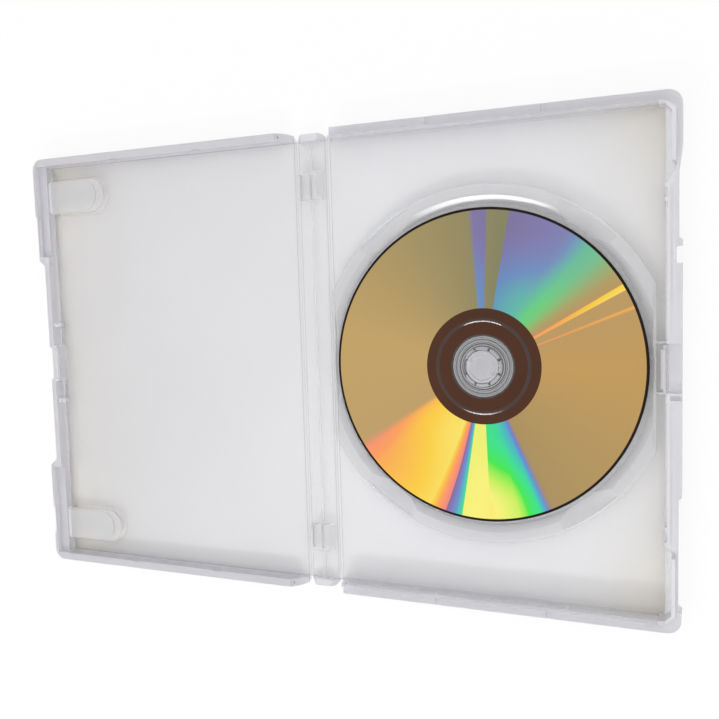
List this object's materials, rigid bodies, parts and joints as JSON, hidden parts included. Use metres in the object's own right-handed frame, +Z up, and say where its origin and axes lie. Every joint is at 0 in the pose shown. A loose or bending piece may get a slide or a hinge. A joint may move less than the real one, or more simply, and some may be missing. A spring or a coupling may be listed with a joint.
{
  "type": "game disc case",
  "caption": "Translucent hinged keep case lying open, with a paper insert in its clear sleeve, booklet clips, a latch and a disc held on a release hub.",
  "frame": {"origin": "middle of the spine, on the surface that the open case lies on", "axes": "+X towards the opening edge of the back cover that holds the disc, +Y along the spine, +Z up out of the open covers"},
  "size_m": [0.283, 0.19, 0.0104],
  "materials": {
    "case_plastic": "milky translucent polypropylene with a soft gloss",
    "disc": "clear polycarbonate over a gold reflective layer and a dark print",
    "insert_paper": "plain white back of a printed sheet",
    "sleeve_film": "clear glossy film"
  },
  "bodies": {
    "back_cover": {"back_cover": "case_plastic", "disc": "disc", "insert_back": "insert_paper", "sleeve_back": "sleeve_film"},
    "hub_button": {"hub_button": "case_plastic"},
    "spine": {"spine": "case_plastic", "hinge_web_back": "case_plastic", "hinge_web_front": "case_plastic", "insert_spine": "insert_paper", "sleeve_spine": "sleeve_film"},
    "front_cover": {"front_cover": "case_plastic", "insert_front": "insert_paper", "sleeve_front": "sleeve_film"}
  },
  "joints": [
    {"name": "back_hinge", "type": "hinge", "parent": "back_cover", "child": "spine", "pos_m": [0.007, 0, 0], "axis": [0, 1, 0], "range_deg": [0, 90], "deforming": ["hinge_web_back"]},
    {"name": "front_hinge", "type": "hinge", "parent": "spine", "child": "front_cover", "pos_m": [-0.007, 0, 0], "axis": [0, 1, 0], "range_deg": [0, 90], "deforming": ["hinge_web_front"]},
    {"name": "hub_press", "type": "slide", "parent": "back_cover", "child": "hub_button", "axis": [0, 0, -1], "range_m": [0, 0.0012], "stiffness_N_per_m": 3000}
  ]
}
